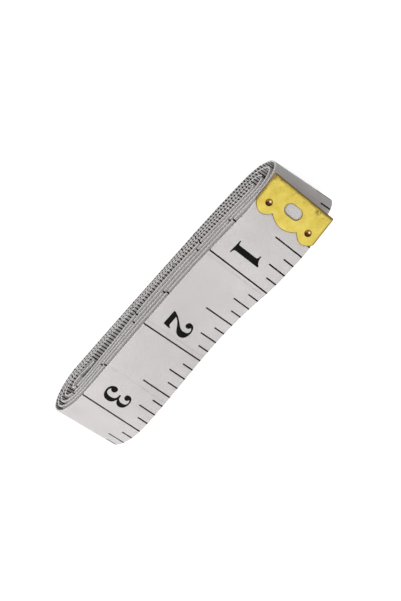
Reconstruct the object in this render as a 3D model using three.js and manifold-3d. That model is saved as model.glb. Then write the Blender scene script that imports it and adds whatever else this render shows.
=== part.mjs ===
// Cloth tape measure, wound flat, with its free end and a folded brass tip on top.
// Millimetres, +Z up: X runs along the roll towards the tip, Y across the tape.
import * as THREE from "three";
import Module from "manifold-3d";

const wasm = await Module();
wasm.setup();

// The tape and the roll.
const TAPE_W = 19;
const TAPE_T = 0.45;
const ROLL_LENGTH = 88;
const ROLL_HEIGHT = 13.4;
const LAPS = 5;
const TOP_GAP_LEFT = 0.9;
const TOP_GAP_RIGHT = 1.1;
const TOP_SAG = 1.8;
const BOTTOM_GAP = 0.46;
const FAN_SPAN = 36;
const CORE_R = 0.75;
const LEFT_REACH = 11;
const LEFT_NEST = 0.1;
const RIGHT_REACH = 9.4;
const BEND_TAPER = 0.7;
const MOST_STRETCH = 2;
const STUB = 6.4;
const STUB_LIFT = 1.2;
const STUB_RISE = 0.6;

// The free end: its sections count from the roll, and distances run from the tip's fold.
const TIP_FROM_END = 1.2;
const TIP_SECTION = 14;
const SECTION = 24;
const SECTIONS = 2;
const HINGE_GAP = 0.6;
const FREE_SAG = 0.6;
const TWIST_SPAN = 34;
const TIP_PITCH = THREE.MathUtils.degToRad(4);
const TIP_ROLL = THREE.MathUtils.degToRad(6.5);
const TIP_LIFT = 0.5;

// The free stretch isn't quite flat: its tick edge waves up, its other edge lies lower.
const TICK_LIFT = 1.2;
const TICK_WAVE = 0.8;
const TICK_DIP_S = 40;
const TICK_WAVE_L = 64;
const PLAIN_LIFT = 0.35;
const LIFT_IN_SPAN = 16;
const LIFT_OUT_S = 72;
const LIFT_OUT_SPAN = 22;

// The metal at both ends.
const SHEET_T = 0.3;
const SHEET_FIT = 0.05;
const TIP_OVERHANG = 0.5;
const TIP_REACH = 10.3;
const TIP_SIDE = 8.5;
const TIP_CUSP = 8.7;
const MIDDLE_LOBE_W = 8.1;
const SLOT_L = 5;
const SLOT_W = 3;
const SLOT_FROM_FOLD = 5.1;
const RIVET_FROM_FOLD = 7;
const RIVET_INSET = 3.3;
const RIVET_HEAD_R = 0.95;
const RIVET_SHANK_R = 0.5;
const RIVET_DOME = 0.5;
const RIVET_FOOT = 0.12;
const TIP_AIR = 0.05;
const CLIP_OVERHANG = 0.3;
const CLIP_LENGTH = 6.2;

// Steps of the curves.
const BEND_STEPS = 10;
const RUN_STEPS = 8;
const SECTION_STEPS = 6;
const ROUND_STEPS = 16;
const DOME_STEPS = 4;
const OUTLINE_STEPS = 8;
const LEAST_LOOP = 8;
const CUT_SPARE = 2;

const halfT = TAPE_T / 2;
const mouth = halfT + SHEET_FIT;
const tipHalf = mouth + SHEET_T;
const tipW = TAPE_W + 2 * TIP_OVERHANG;
const clipW = TAPE_W + 2 * CLIP_OVERHANG;
const rivetY = tipW / 2 - RIVET_INSET;
const rivetFromHinge = TIP_SECTION - RIVET_FROM_FOLD;
const tipDip = rivetFromHinge * Math.sin(TIP_PITCH) + (tipW / 2) * Math.sin(TIP_ROLL) - TIP_LIFT;
const firstStep = halfT + tipHalf + RIVET_FOOT + tipDip + TIP_AIR;
const rootS = TIP_SECTION + SECTIONS * SECTION;

const leftX = -ROLL_LENGTH / 2 + halfT + LEFT_REACH;
const rightX = ROLL_LENGTH / 2 - halfT - RIGHT_REACH;
const tipX = ROLL_LENGTH / 2 - TIP_FROM_END;
const topZ0 = ROLL_HEIGHT - halfT;
const smooth = (u) => THREE.MathUtils.smoothstep(u, 0, 1);

// Heights of the tape's middle surface: each lap's top run, which sags, and its bottom run, which fans
// out to the right.
function topZ(lap, x) {
  if (lap === 0) return topZ0;
  const u = THREE.MathUtils.clamp((x - leftX) / (rightX - leftX), 0, 1);
  const gap = THREE.MathUtils.lerp(TOP_GAP_LEFT, TOP_GAP_RIGHT, u);
  const sag = (TOP_SAG * lap * Math.sin(Math.PI * u) ** 2) / (LAPS - 1);
  const first = THREE.MathUtils.lerp(TAPE_T + TOP_GAP_LEFT, firstStep, u);
  return topZ0 - first - (lap - 1) * (TAPE_T + gap) - sag;
}

const leftStep = TAPE_T + BOTTOM_GAP;
const rightStep = (topZ(LAPS - 1, rightX) - 2 * CORE_R - halfT) / (LAPS - 2);

function bottomZ(lap, x) {
  const u = smooth((x - rightX + FAN_SPAN) / FAN_SPAN);
  return halfT + lap * THREE.MathUtils.lerp(leftStep, rightStep, u);
}

// How far a bend reaches out: less the tighter it turns.
function reachOf(fromZ, toZ, reach, widest) {
  const b = Math.abs(toZ - fromZ) / 2;
  return Math.min(reach * Math.pow(b / widest, BEND_TAPER), MOST_STRETCH * b);
}

// A half ellipse from one run to the next, turning away from the middle of the roll.
function bend(x, fromZ, toZ, reach, side) {
  const points = [];
  for (let i = 1; i < BEND_STEPS; i += 1) {
    const turn = (Math.PI * i) / BEND_STEPS;
    const z = (fromZ + toZ) / 2 + ((fromZ - toZ) / 2) * Math.cos(turn);
    points.push({ x: x + side * reach * Math.sin(turn), z });
  }
  return points;
}

function run(fromX, toX, heightAt) {
  const points = [];
  for (let i = 0; i <= RUN_STEPS; i += 1) {
    const x = THREE.MathUtils.lerp(fromX, toX, i / RUN_STEPS);
    points.push({ x, z: heightAt(x) });
  }
  return points;
}

// The wound stretch, from the free end's root inwards to the stub that carries the clip.
function rollPath() {
  const widestLeft = (topZ0 - halfT) / 2;
  const widestRight = (topZ(1, rightX) - halfT) / 2;
  const path = [];
  for (let lap = 0; lap < LAPS; lap += 1) {
    const last = lap === LAPS - 1;
    const startX = lap === 0 ? tipX - rootS - HINGE_GAP / 2 : rightX;
    const high = topZ(lap, leftX);
    const low = bottomZ(lap, leftX) + (last ? STUB_LIFT : 0);
    const leftReach = reachOf(high, low, LEFT_REACH, widestLeft);
    const endX = leftX - LEFT_NEST * (LEFT_REACH - leftReach);
    path.push(...run(startX, endX, (x) => topZ(lap, x)));
    path.push(...bend(endX, high, low, leftReach, -1));
    if (last) {
      path.push({ x: endX, z: low }, { x: endX + STUB, z: low + STUB_RISE });
    } else {
      const fromZ = bottomZ(lap, rightX);
      const toZ = topZ(lap + 1, rightX);
      path.push(...run(endX, rightX, (x) => bottomZ(lap, x)));
      path.push(...bend(rightX, fromZ, toZ, reachOf(fromZ, toZ, RIGHT_REACH, widestRight), 1));
    }
  }
  return path;
}

// How far the tape stands up at a distance from the fold: at its middle, and as a slope across it.
function lift(s) {
  const fade = smooth((s - TIP_SECTION) / LIFT_IN_SPAN) * (1 - smooth((s - LIFT_OUT_S) / LIFT_OUT_SPAN));
  const tick = TICK_LIFT - TICK_WAVE * Math.cos((2 * Math.PI * (s - TICK_DIP_S)) / TICK_WAVE_L);
  return { rise: (fade * (tick + PLAIN_LIFT)) / 2, slope: (fade * (PLAIN_LIFT - tick)) / TAPE_W };
}

// The wound stretch with that lift, which runs out in its first bend.
function lifted(path) {
  let s = rootS + HINGE_GAP / 2;
  return path.map((p, i) => {
    if (i > 0) s += Math.hypot(p.x - path[i - 1].x, p.z - path[i - 1].z);
    const { rise, slope } = lift(s);
    return { x: p.x, z: p.z + rise, slope };
  });
}

// The free stretch at a distance from the fold: its height, and its slope across the width.
function freePoint(s) {
  const u = (s - TIP_SECTION) / (rootS - TIP_SECTION);
  const sag = TIP_LIFT * (1 - smooth(u)) - FREE_SAG * Math.sin(Math.PI * u) ** 2;
  const twist = -Math.tan(TIP_ROLL) * (1 - smooth((s - TIP_SECTION) / TWIST_SPAN));
  const { rise, slope } = lift(s);
  return { x: tipX - s, z: topZ0 + sag + rise, slope: twist + slope };
}

// One closed strip along a path of points in the XZ plane.
function ribbon(path) {
  const corners = [];
  path.forEach((p, i) => {
    const before = path[Math.max(i - 1, 0)];
    const after = path[Math.min(i + 1, path.length - 1)];
    const along = new THREE.Vector2(after.x - before.x, after.z - before.z).normalize();
    for (const [y, side] of [[-1, -1], [1, -1], [1, 1], [-1, 1]]) {
      const edge = (y * TAPE_W) / 2;
      const x = p.x - side * halfT * along.y;
      const z = p.z + side * halfT * along.x + edge * p.slope;
      corners.push(x, edge, z);
    }
  });
  const faces = [];
  const lastRing = 4 * (path.length - 1);
  for (let ring = 0; ring < lastRing; ring += 4) {
    for (let c = 0; c < 4; c += 1) {
      const a = ring + c;
      const b = ring + ((c + 1) % 4);
      faces.push(a, b, b + 4, a, b + 4, a + 4);
    }
  }
  faces.push(0, 2, 1, 0, 3, 2);
  faces.push(lastRing, lastRing + 1, lastRing + 2, lastRing, lastRing + 2, lastRing + 3);
  const geometry = new THREE.BufferGeometry();
  geometry.setAttribute("position", new THREE.Float32BufferAttribute(corners, 3));
  geometry.setIndex(faces);
  return geometry;
}

// The tape's length and its least gap to itself, measured on the points of the whole path.
function measure(path) {
  const along = [0];
  for (let i = 1; i < path.length; i += 1) {
    along.push(along[i - 1] + Math.hypot(path[i].x - path[i - 1].x, path[i].z - path[i - 1].z));
  }
  const segment = new THREE.Line3();
  const point = new THREE.Vector3();
  const nearest = new THREE.Vector3();
  let gap = Infinity;
  for (let i = 0; i < path.length; i += 1) {
    point.set(path[i].x, 0, path[i].z);
    for (let j = 1; j < path.length; j += 1) {
      if (Math.min(Math.abs(along[j] - along[i]), Math.abs(along[j - 1] - along[i])) < LEAST_LOOP) continue;
      segment.start.set(path[j - 1].x, 0, path[j - 1].z);
      segment.end.set(path[j].x, 0, path[j].z);
      segment.closestPointToPoint(point, true, nearest);
      gap = Math.min(gap, nearest.distanceTo(point) - TAPE_T);
    }
  }
  return { length: along[along.length - 1], gap };
}

// three.js geometry to a manifold-3d solid and back, for joins and cuts.
function toSolid(geometry) {
  const flat = geometry.index ? geometry.toNonIndexed() : geometry;
  const mesh = new wasm.Mesh({
    numProp: 3,
    vertProperties: new Float32Array(flat.attributes.position.array),
    triVerts: Uint32Array.from({ length: flat.attributes.position.count }, (_, i) => i),
  });
  mesh.merge();
  return new wasm.Manifold(mesh);
}

function toGeometry(solid) {
  const mesh = solid.getMesh();
  const geometry = new THREE.BufferGeometry();
  geometry.setAttribute("position", new THREE.BufferAttribute(mesh.vertProperties, 3));
  geometry.setIndex(new THREE.BufferAttribute(mesh.triVerts, 1));
  return geometry;
}

function extruded(shape, depth) {
  const options = { depth, bevelEnabled: false, curveSegments: OUTLINE_STEPS };
  const geometry = new THREE.ExtrudeGeometry(shape, options);
  return geometry.translate(0, 0, -depth / 2);
}

// The side of a sheet folded round the tape's end, with its fold's outside at foldX.
function foldProfile(foldX, length, half) {
  const shape = new THREE.Shape();
  shape.moveTo(foldX - length, -half);
  shape.lineTo(foldX - half, -half);
  shape.absarc(foldX - half, 0, half, -Math.PI / 2, Math.PI / 2, false);
  shape.lineTo(foldX - length, half);
  shape.closePath();
  return shape;
}

function folded(foldX, length, width) {
  const outer = extruded(foldProfile(foldX, length, tipHalf), width).rotateX(Math.PI / 2);
  const inner = extruded(foldProfile(foldX - SHEET_T, length, mouth), width + CUT_SPARE).rotateX(Math.PI / 2);
  return toSolid(outer).subtract(toSolid(inner));
}

// The tip plate's outline seen from above: straight sides and three scallops.
function tipOutline() {
  const fold = TIP_SECTION;
  const cuspX = fold - TIP_CUSP;
  const lobeX = fold - TIP_REACH;
  const cuspY = MIDDLE_LOBE_W / 2;
  const sideMiddle = (tipW / 2 + cuspY) / 2;
  const sideX = fold - TIP_SIDE;
  const shape = new THREE.Shape();
  shape.moveTo(fold, -tipW / 2);
  shape.lineTo(fold, tipW / 2);
  shape.lineTo(sideX, tipW / 2);
  shape.quadraticCurveTo(2 * lobeX - (sideX + cuspX) / 2, sideMiddle, cuspX, cuspY);
  shape.quadraticCurveTo(2 * lobeX - cuspX, 0, cuspX, -cuspY);
  shape.quadraticCurveTo(2 * lobeX - (sideX + cuspX) / 2, -sideMiddle, sideX, -tipW / 2);
  shape.closePath();
  return shape;
}

function slotOutline() {
  const shape = new THREE.Shape();
  const x = TIP_SECTION - SLOT_FROM_FOLD;
  const r = SLOT_W / 2;
  const straight = SLOT_L / 2 - r;
  shape.moveTo(x - r, -straight);
  shape.absarc(x, -straight, r, Math.PI, 2 * Math.PI, false);
  shape.absarc(x, straight, r, 0, Math.PI, false);
  shape.closePath();
  return shape;
}

function rivetHole(y) {
  const r = RIVET_SHANK_R + SHEET_FIT;
  const hole = new THREE.CylinderGeometry(r, r, 2 * tipHalf + CUT_SPARE, ROUND_STEPS);
  return toSolid(hole.rotateX(Math.PI / 2).translate(rivetFromHinge, y, 0));
}

function tipPlate() {
  const deep = 2 * tipHalf + CUT_SPARE;
  return folded(TIP_SECTION, TIP_REACH, tipW)
    .intersect(toSolid(extruded(tipOutline(), deep)))
    .subtract(toSolid(extruded(slotOutline(), deep)))
    .subtract(rivetHole(rivetY))
    .subtract(rivetHole(-rivetY));
}

function tipTape() {
  const start = HINGE_GAP / 2;
  const end = TIP_SECTION - SHEET_T - mouth;
  const strip = new THREE.BoxGeometry(end - start, TAPE_W, TAPE_T).translate((start + end) / 2, 0, 0);
  return toSolid(strip).subtract(rivetHole(rivetY)).subtract(rivetHole(-rivetY));
}

function rivet(y) {
  const seat = tipHalf + SHEET_FIT / 2;
  const profile = [
    new THREE.Vector2(0, -seat - RIVET_FOOT),
    new THREE.Vector2(RIVET_HEAD_R, -seat - RIVET_FOOT),
    new THREE.Vector2(RIVET_HEAD_R, -seat),
    new THREE.Vector2(RIVET_SHANK_R, -seat),
    new THREE.Vector2(RIVET_SHANK_R, seat),
  ];
  for (let i = 0; i <= DOME_STEPS; i += 1) {
    const turn = (Math.PI / 2) * (i / DOME_STEPS);
    const r = i === DOME_STEPS ? 0 : RIVET_HEAD_R * Math.cos(turn);
    profile.push(new THREE.Vector2(r, seat + RIVET_DOME * Math.sin(turn)));
  }
  return new THREE.LatheGeometry(profile, ROUND_STEPS).rotateX(Math.PI / 2).translate(rivetFromHinge, y, 0);
}

const TAPE = { color: 0xd8d6d2, roughness: 0.6 };
const BRASS = { color: 0xd9c25a, metalness: 1, roughness: 0.35 };
const BRONZE = { color: 0x8a6a34, metalness: 1, roughness: 0.3 };
const NICKEL = { color: 0x9a9a9c, metalness: 1, roughness: 0.4 };

const part = new THREE.Group();
part.name = "tape_measure";

function add(parent, name, geometry, look) {
  const mesh = new THREE.Mesh(geometry, new THREE.MeshStandardMaterial(look));
  mesh.name = name;
  parent.add(mesh);
}

const wound = lifted(rollPath());
add(part, "tape_roll", ribbon(wound), TAPE);

const freeStretch = [];
for (let i = 1; i <= SECTIONS; i += 1) {
  const far = rootS - (i - 1) * SECTION - HINGE_GAP / 2;
  const near = rootS - i * SECTION + HINGE_GAP / 2;
  const points = [];
  for (let step = 0; step <= SECTION_STEPS; step += 1) {
    points.push(freePoint(THREE.MathUtils.lerp(near, far, step / SECTION_STEPS)));
  }
  freeStretch.unshift(...points);
  add(part, `free_tape_${i}`, ribbon(points), TAPE);
}

const tip = new THREE.Group();
tip.position.set(tipX - TIP_SECTION, 0, topZ0 + TIP_LIFT);
tip.rotation.set(-TIP_ROLL, TIP_PITCH, 0);
part.add(tip);
add(tip, "tip_tape", toGeometry(tipTape()), TAPE);
add(tip, "tip_plate", toGeometry(tipPlate()), BRASS);
add(tip, "tip_rivet_tick_side", rivet(-rivetY), BRONZE);
add(tip, "tip_rivet_plain_side", rivet(rivetY), BRONZE);

const stubEnd = wound[wound.length - 1];
const clip = toGeometry(folded(SHEET_T + mouth, CLIP_LENGTH, clipW)).rotateY(-Math.atan2(STUB_RISE, STUB));
add(part, "inner_end_clip", clip.translate(stubEnd.x, 0, stubEnd.z), NICKEL);

const tipEnd = { x: tipX, z: topZ0 + TIP_LIFT - TIP_SECTION * Math.sin(TIP_PITCH) };
const size = measure([tipEnd, ...freeStretch, ...wound]);
console.log(`tape length ${size.length.toFixed(1)} mm, least gap to itself ${size.gap.toFixed(3)} mm`);
for (let i = 0; i <= SECTIONS; i += 1) {
  const hinge = freePoint(rootS - i * SECTION);
  console.log(`hinge ${i + 1}: x ${hinge.x.toFixed(3)} z ${hinge.z.toFixed(3)}`);
}

export default part;
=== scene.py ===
"""Cloth tape measure wound flat: the printed tape, its folded brass tip and its inner clip."""

import bisect
import math

import bpy
from mathutils import Euler, Matrix, Vector
from mathutils.geometry import delaunay_2d_cdt, interpolate_bezier


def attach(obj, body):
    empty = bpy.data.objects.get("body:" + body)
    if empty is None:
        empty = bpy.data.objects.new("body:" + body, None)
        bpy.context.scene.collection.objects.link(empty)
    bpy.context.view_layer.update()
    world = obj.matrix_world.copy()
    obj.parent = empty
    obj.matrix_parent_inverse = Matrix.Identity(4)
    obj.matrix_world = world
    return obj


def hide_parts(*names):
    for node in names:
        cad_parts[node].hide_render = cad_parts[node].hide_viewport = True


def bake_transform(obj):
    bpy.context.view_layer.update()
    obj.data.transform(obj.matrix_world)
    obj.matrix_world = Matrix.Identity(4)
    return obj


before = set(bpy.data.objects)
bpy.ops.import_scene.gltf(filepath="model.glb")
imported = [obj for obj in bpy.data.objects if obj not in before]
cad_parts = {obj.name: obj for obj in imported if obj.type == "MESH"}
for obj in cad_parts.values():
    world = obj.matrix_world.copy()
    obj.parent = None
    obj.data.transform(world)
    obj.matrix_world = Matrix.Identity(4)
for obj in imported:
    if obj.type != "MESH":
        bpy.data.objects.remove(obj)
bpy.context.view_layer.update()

MM = 0.001
# Points closer than this are one.
SAME = 1e-6

# Sizes of the part, in mm, as in its CAD source
TAPE_W = 19.0
TAPE_T = 0.45
ROLL_LENGTH = 88.0
ROLL_HEIGHT = 13.4
LAPS = 5
TOP_GAP_LEFT = 0.9
TOP_GAP_RIGHT = 1.1
TOP_SAG = 1.8
BOTTOM_GAP = 0.46
FAN_SPAN = 36.0
CORE_R = 0.75
LEFT_REACH = 11.0
LEFT_NEST = 0.1
RIGHT_REACH = 9.4
BEND_TAPER = 0.7
MOST_STRETCH = 2.0
STUB = 6.4
STUB_LIFT = 1.2
STUB_RISE = 0.6
TIP_FROM_END = 1.2
TIP_SECTION = 14.0
SECTION = 24.0
SECTIONS = 2
FREE_SAG = 0.6
TWIST_SPAN = 34.0
TIP_PITCH = math.radians(4.0)
TIP_ROLL = math.radians(6.5)
TIP_LIFT = 0.5
SHEET_T = 0.3
SHEET_FIT = 0.05
TIP_OVERHANG = 0.5
TIP_REACH = 10.3
TIP_SIDE = 8.5
TIP_CUSP = 8.7
MIDDLE_LOBE_W = 8.1
SLOT_L = 5.0
SLOT_W = 3.0
SLOT_FROM_FOLD = 5.1
RIVET_FROM_FOLD = 7.0
RIVET_HEAD_R = 0.95
RIVET_SHANK_R = 0.5
RIVET_DOME = 0.5
RIVET_FOOT = 0.12
TIP_AIR = 0.05
HOLE_FIT = 0.05
CLIP_OVERHANG = 0.3
CLIP_LENGTH = 6.2

TIP_X = ROLL_LENGTH / 2 - TIP_FROM_END
HALF_T = TAPE_T / 2
HALF_W = TAPE_W / 2
MOUTH = HALF_T + SHEET_FIT
TIP_HALF = MOUTH + SHEET_T
TIP_W = TAPE_W + 2 * TIP_OVERHANG
RIVET_X = TIP_SECTION - RIVET_FROM_FOLD
TIP_DIP = RIVET_X * math.sin(TIP_PITCH) + TIP_W / 2 * math.sin(TIP_ROLL) - TIP_LIFT
FIRST_STEP = HALF_T + TIP_HALF + RIVET_FOOT + TIP_DIP + TIP_AIR
ROOT_S = TIP_SECTION + SECTIONS * SECTION
LEFT_X = -ROLL_LENGTH / 2 + LEFT_REACH + HALF_T
RIGHT_X = ROLL_LENGTH / 2 - RIGHT_REACH - HALF_T
TOP_Z = ROLL_HEIGHT - HALF_T
TIP_FRAME = Matrix.Translation((TIP_X - TIP_SECTION, 0, TOP_Z + TIP_LIFT)) @ Euler(
    (-TIP_ROLL, TIP_PITCH, 0), "ZYX"
).to_matrix().to_4x4()


def smooth(t):
    t = min(max(t, 0.0), 1.0)
    return t * t * (3 - 2 * t)


def lerp(a, b, t):
    return a + (b - a) * t


# The tape's centre line: s is the distance from the tip's fold
BEND_STEPS = 24
RUN_STEP = 4.0
FREE_STEP = 2.0


def top_z(lap, x):
    if lap == 0:
        return TOP_Z
    u = min(max((x - LEFT_X) / (RIGHT_X - LEFT_X), 0.0), 1.0)
    sag = TOP_SAG * lap * math.sin(math.pi * u) ** 2 / (LAPS - 1)
    first = lerp(TAPE_T + TOP_GAP_LEFT, FIRST_STEP, u)
    return TOP_Z - first - (lap - 1) * (TAPE_T + lerp(TOP_GAP_LEFT, TOP_GAP_RIGHT, u)) - sag


LEFT_RISE = TAPE_T + BOTTOM_GAP
RIGHT_RISE = (top_z(LAPS - 1, RIGHT_X) - 2 * CORE_R - HALF_T) / (LAPS - 2)


def bottom_z(lap, x):
    return HALF_T + lap * lerp(LEFT_RISE, RIGHT_RISE, smooth((x - RIGHT_X + FAN_SPAN) / FAN_SPAN))


def reach_of(from_z, to_z, reach, widest):
    b = abs(to_z - from_z) / 2
    return min(reach * (b / widest) ** BEND_TAPER, MOST_STRETCH * b)


def bend(x, from_z, to_z, reach, side):
    for i in range(1, BEND_STEPS):
        t = math.pi * i / BEND_STEPS
        z = (from_z + to_z) / 2 + (from_z - to_z) / 2 * math.cos(t)
        yield x + side * reach * math.sin(t), z


def run(x0, x1, height):
    steps = max(2, round(abs(x1 - x0) / RUN_STEP))
    for i in range(steps + 1):
        x = lerp(x0, x1, i / steps)
        yield x, height(x)


def roll_path():
    left_widest = (TOP_Z - HALF_T) / 2
    right_widest = (top_z(1, RIGHT_X) - HALF_T) / 2
    points = []
    for lap in range(LAPS):
        top = top_z(lap, LEFT_X)
        last = lap == LAPS - 1
        low = bottom_z(lap, LEFT_X) + (STUB_LIFT if last else 0)
        reach = reach_of(top, low, LEFT_REACH, left_widest)
        end_x = LEFT_X - LEFT_NEST * (LEFT_REACH - reach)
        points += run(RIGHT_X if lap else TIP_X - ROOT_S, end_x, lambda x, n=lap: top_z(n, x))
        points += bend(end_x, top, low, reach, -1)
        if last:
            points += run(end_x, end_x + STUB, lambda x: low + STUB_RISE * (x - end_x) / STUB)
            break
        points += run(end_x, RIGHT_X, lambda x, n=lap: bottom_z(n, x))
        low, top = bottom_z(lap, RIGHT_X), top_z(lap + 1, RIGHT_X)
        reach = reach_of(low, top, RIGHT_REACH, right_widest)
        points += bend(RIGHT_X, low, top, reach, 1)
    return points


def free_z(s):
    u = (s - TIP_SECTION) / (ROOT_S - TIP_SECTION)
    return TOP_Z + TIP_LIFT * (1 - smooth(u)) - FREE_SAG * math.sin(math.pi * u) ** 2


def centre_line():
    """(s, x, z) along the tape from the tip section to the inner end."""
    line = []
    for i in range(round((ROOT_S - TIP_SECTION) / FREE_STEP) + 1):
        s = TIP_SECTION + i * FREE_STEP
        line.append((s, TIP_X - s, free_z(s)))
    for x, z in roll_path():
        step = math.hypot(x - line[-1][1], z - line[-1][2])
        if step > SAME:
            line.append((line[-1][0] + step, x, z))
    return line


LINE = centre_line()
LINE_S = [point[0] for point in LINE]
TAPE_END = LINE_S[-1]
TANGENTS = []
for k in range(len(LINE)):
    back, ahead = LINE[max(k - 1, 0)], LINE[min(k + 1, len(LINE) - 1)]
    TANGENTS.append(Vector((ahead[1] - back[1], ahead[2] - back[2])).normalized())

# The free end isn't quite flat: its tick edge waves up, its other edge lies lower.
TICK_LIFT = 1.2
TICK_WAVE = 0.8
TICK_DIP_S = 40.0
TICK_WAVE_L = 64.0
PLAIN_LIFT = 0.35
LIFT_IN = (13.0, 29.0)
LIFT_OUT = (72.0, 94.0)
PLATE_END_S = 10.4
TWIST_FREE_S = 16.0

# The tape's end runs a little to the tick side, and slants back in its brass. As the photograph shows
# it, the brass is also a little narrower and shorter than its solid.
ASKEW = 0.65
ASKEW_SPAN = (12.0, 32.0)
BRASS_SLANT = 0.054
BRASS_W = 19.3
BRASS_SHORT = 0.3
BRASS_RIVET_Y = 6.55
BRASS_FRONT = TIP_SECTION - BRASS_SHORT
BRASS_END = TIP_SECTION - PLATE_END_S
BRASS_FRAME = TIP_FRAME @ Matrix.Translation((0, -ASKEW - BRASS_SLANT * BRASS_END, 0))
SLANT = Matrix(((1, 0, 0, 0), (BRASS_SLANT, 1, 0, 0), (0, 0, 1, 0), (0, 0, 0, 1)))
HELD_FRAME = BRASS_FRAME @ SLANT

# The wound laps run off a little to the tick side at their right end, and the whole roll leans that
# way at its left end, its top more than its foot.
DRIFT = 0.9
DRIFT_FROM_X = 15.0
DRIFT_TO_X = ROLL_LENGTH / 2
DRIFT_FROM_S = 100.0
LEAN_TOP = 0.6
LEAN_FOOT = 0.2
LEAN_FROM_X = -8.0
LEAN_TO_X = -ROLL_LENGTH / 2


def lean(x, z):
    return lerp(LEAN_FOOT, LEAN_TOP, z / TOP_Z) * smooth((x - LEAN_FROM_X) / (LEAN_TO_X - LEAN_FROM_X))


def askew(s):
    return ASKEW * (1 - smooth((s - ASKEW_SPAN[0]) / (ASKEW_SPAN[1] - ASKEW_SPAN[0])))


def lift(s, v):
    fade = smooth((s - LIFT_IN[0]) / (LIFT_IN[1] - LIFT_IN[0]))
    fade *= 1 - smooth((s - LIFT_OUT[0]) / (LIFT_OUT[1] - LIFT_OUT[0]))
    tick = TICK_LIFT - TICK_WAVE * math.cos(2 * math.pi * (s - TICK_DIP_S) / TICK_WAVE_L)
    return fade * lerp(tick, PLAIN_LIFT, (v + HALF_W) / TAPE_W)


def surface(s, v, side):
    """A point of the tape in mm: side 1 is the inch face, -1 the centimetre face."""
    held = HELD_FRAME @ Vector((TIP_SECTION - s, v, side * HALF_T))
    if s <= PLATE_END_S:
        return held
    at = max(s, TIP_SECTION)
    k = min(bisect.bisect_right(LINE_S, at) - 1, len(LINE) - 2)
    t = (at - LINE_S[k]) / (LINE_S[k + 1] - LINE_S[k])
    x, z = (lerp(LINE[k][i], LINE[k + 1][i], t) for i in (1, 2))
    along = TANGENTS[k].lerp(TANGENTS[k + 1], t).normalized()
    x += at - s
    y = v - lean(x, z) - askew(s)
    spot = Vector((x + along.y * side * HALF_T, y, z - along.x * side * HALF_T))
    if s > DRIFT_FROM_S:
        # a lap that runs off sideways turns with it
        u = max(x - DRIFT_FROM_X, 0.0) / (DRIFT_TO_X - DRIFT_FROM_X)
        spot.x -= v * 2 * DRIFT * u / (DRIFT_TO_X - DRIFT_FROM_X)
        spot.y -= DRIFT * u * u
        return spot
    slope = -math.tan(TIP_ROLL) * (1 - smooth((s - TIP_SECTION) / TWIST_SPAN))
    spot.z += v * slope + lift(s, v)
    return held.lerp(spot, smooth((s - PLATE_END_S) / (TWIST_FREE_S - PLATE_END_S)))


# The print: ticks and bold numerals, drawn as outlines 100 units high
INCH = 25.4
INCH_TICK_W = 0.42
INCH_TICKS = {8: TAPE_W, 4: 9.0, 2: 5.3, 1: 3.3}
CM = 10.0
MM_TICK_W = 0.35
MM_TICKS = {10: TAPE_W, 5: 5.6, 1: 3.8}
INCH_NUMBER_H = 8.1
INCH_NUMBER_BACK = 4.75
INCH_NUMBER_V = 1.5
CM_NUMBER_H = 5.4
CM_NUMBER_BACK = 6.2
CM_NUMBER_V = -1.5
# The print starts beyond the rivets' holes, which the brass hides.
PRINT_FROM = RIVET_FROM_FOLD + RIVET_HEAD_R
# The millimetres stop this far from the tape's inner end, short of the clip.
BARE_END = 15.0
# Under the roll the print falls short of its scale, by this much at the end of the stretch.
PRINT_SHIFT = -1.475
PRINT_SHIFT_SPAN = (110.0, 175.0)
DIGIT_STEP = 62.0
DIGIT_MIDDLE = (29.5, 50.0)
CURVE_POINTS = 6

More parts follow.
